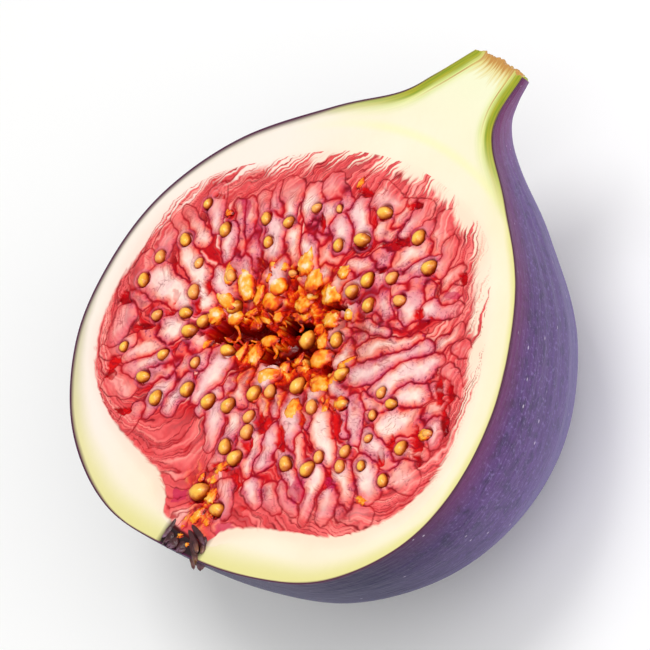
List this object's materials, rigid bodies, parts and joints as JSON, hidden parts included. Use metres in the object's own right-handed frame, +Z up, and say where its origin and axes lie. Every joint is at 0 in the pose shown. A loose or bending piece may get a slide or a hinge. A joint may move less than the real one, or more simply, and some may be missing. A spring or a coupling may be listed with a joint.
{
  "type": "halved fresh fig",
  "caption": "Half of a fresh dark fig cut lengthwise, lying on its rounded back, with pale wall, red floret pulp about a slot-like hollow, seeds and a short stem.",
  "frame": {"origin": "on the surface the fruit rests on, under the middle of its bounding box", "axes": "+Z up out of the level cut face, +Y from the eye to the stem, +X to the right-hand side of the cut face seen from above with the stem away"},
  "size_m": [0.0568, 0.0598, 0.0295],
  "materials": {
    "fig_rind": "violet-black skin with a whitish bloom over pale cream flesh",
    "fig_pulp": "wet red and pink floret flesh with golden seeds",
    "dry_bracts": "dry, dark brown papery scales"
  },
  "bodies": {
    "root": {"rind": "fig_rind", "pulp": "fig_pulp", "eye_scales": "dry_bracts"}
  },
  "joints": []
}
